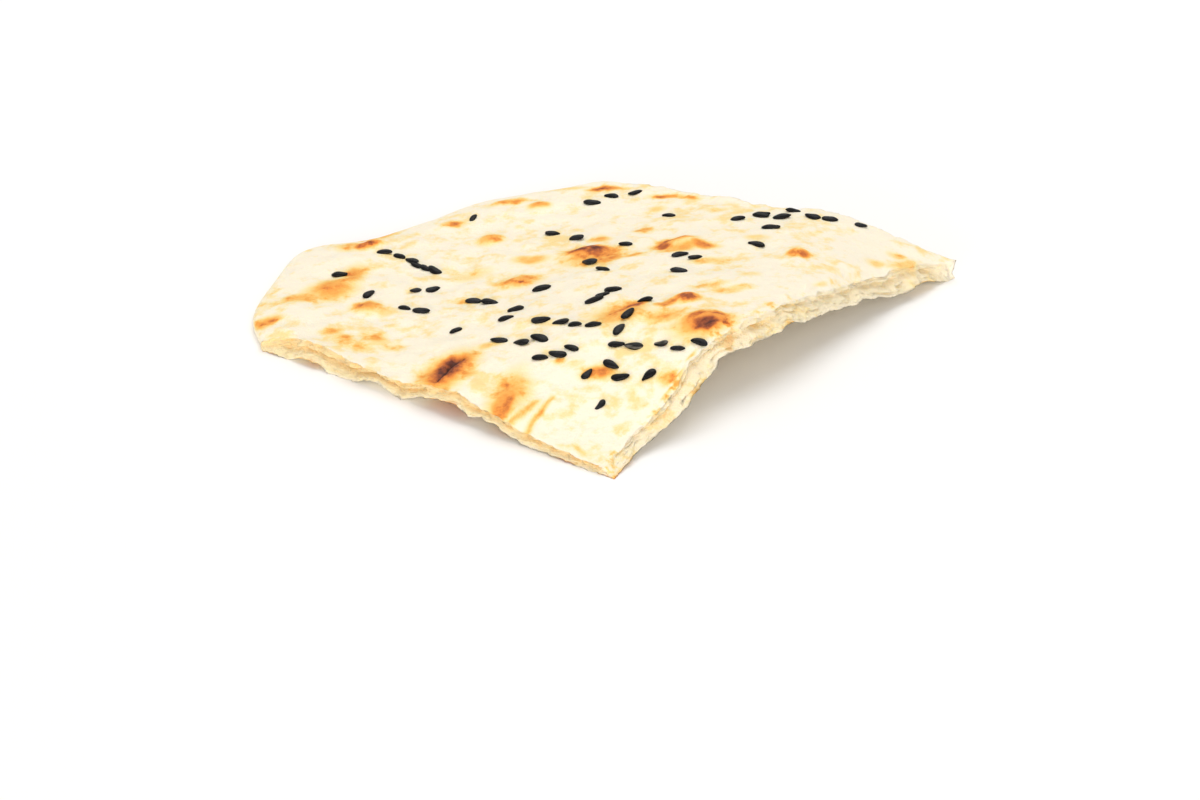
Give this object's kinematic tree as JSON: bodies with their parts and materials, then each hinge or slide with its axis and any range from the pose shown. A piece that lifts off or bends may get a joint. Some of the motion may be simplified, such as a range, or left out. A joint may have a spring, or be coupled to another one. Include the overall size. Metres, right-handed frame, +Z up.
{
  "type": "sangak flatbread piece",
  "caption": "Thin cut piece of sangak flatbread, gently arched, with three cut sides, one rounded rim, toasted blisters and black sesame seeds on top.",
  "frame": {"origin": "middle of the bounding box's underside, on the surface that the piece lies on", "axes": "+Z up, away from that surface; +X to the right as seen from the front corner, along the longest side of the box; -Y towards the thin front corner; +Y towards the rounded rim at the back"},
  "size_m": [0.1166, 0.102, 0.012],
  "materials": {
    "baked_crust": "dry baked wheat crust, cream with golden and brown toasted blisters, matte, fused black sesame seeds",
    "black_sesame": "black sesame seed, finely ridged, faint satin sheen"
  },
  "bodies": {
    "root": {"sangak_piece": "baked_crust"}
  },
  "joints": []
}
